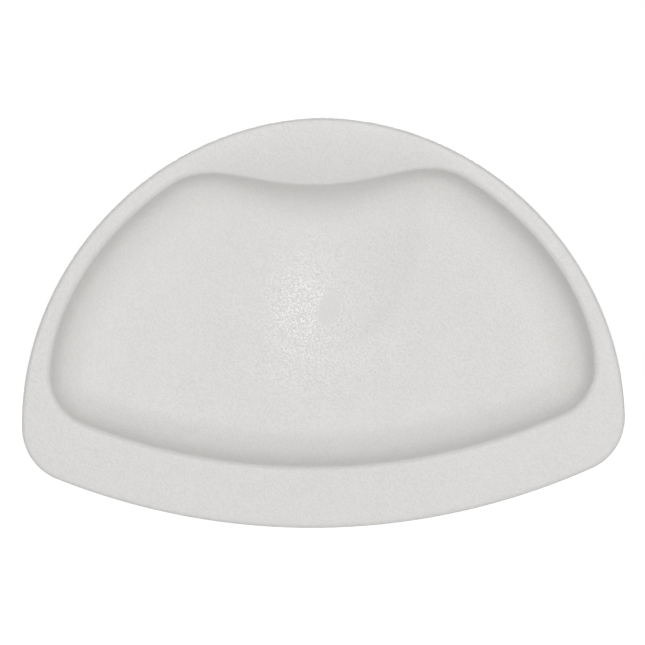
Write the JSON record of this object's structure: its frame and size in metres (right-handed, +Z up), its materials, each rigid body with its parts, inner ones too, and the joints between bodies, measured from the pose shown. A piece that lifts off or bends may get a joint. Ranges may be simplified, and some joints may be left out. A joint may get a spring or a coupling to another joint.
{
  "type": "bath pillow",
  "caption": "Half-moon moulded foam bath pillow with a dished face under a dipped brow, held to a tub wall by suction cups that turn in snap sockets in its back.",
  "frame": {"origin": "on the wall plane that the suction cups' seal rings touch, behind the middle of the pillow's width and height", "axes": "+X across the pillow to the bather's side that the picture shows on the right, +Y into the tub wall, +Z up to the crown"},
  "size_m": [0.33, 0.0658, 0.2248],
  "materials": {
    "face_skin": "satin",
    "foam": "matte",
    "back_skin": "satin",
    "socket": "satin",
    "suction_cup": "gloss"
  },
  "bodies": {
    "pillow": {"front_skin": "face_skin", "foam_core": "foam", "back_skin": "back_skin", "socket_top": "socket", "socket_middle_left": "socket", "socket_middle_right": "socket", "socket_lower_left": "socket", "socket_lower_centre": "socket", "socket_lower_right": "socket"},
    "cup_top": {"suction_cup_top": "suction_cup"},
    "cup_middle_left": {"suction_cup_middle_left": "suction_cup"},
    "cup_middle_right": {"suction_cup_middle_right": "suction_cup"},
    "cup_lower_left": {"suction_cup_lower_left": "suction_cup"},
    "cup_lower_centre": {"suction_cup_lower_centre": "suction_cup"},
    "cup_lower_right": {"suction_cup_lower_right": "suction_cup"}
  },
  "joints": [
    {"name": "cup_top_swivel", "type": "hinge", "parent": "pillow", "child": "cup_top", "pos_m": [0, -0.0108, 0.05935], "axis": [0, 1, 0], "continuous": true},
    {"name": "cup_middle_left_swivel", "type": "hinge", "parent": "pillow", "child": "cup_middle_left", "pos_m": [-0.062, -0.0108, 0.0035], "axis": [0, 1, 0], "continuous": true},
    {"name": "cup_middle_right_swivel", "type": "hinge", "parent": "pillow", "child": "cup_middle_right", "pos_m": [0.062, -0.0108, 0.0035], "axis": [0, 1, 0], "continuous": true},
    {"name": "cup_lower_left_swivel", "type": "hinge", "parent": "pillow", "child": "cup_lower_left", "pos_m": [-0.107, -0.0108, -0.05235], "axis": [0, 1, 0], "continuous": true},
    {"name": "cup_lower_centre_swivel", "type": "hinge", "parent": "pillow", "child": "cup_lower_centre", "pos_m": [0, -0.0108, -0.05235], "axis": [0, 1, 0], "continuous": true},
    {"name": "cup_lower_right_swivel", "type": "hinge", "parent": "pillow", "child": "cup_lower_right", "pos_m": [0.107, -0.0108, -0.05235], "axis": [0, 1, 0], "continuous": true}
  ]
}
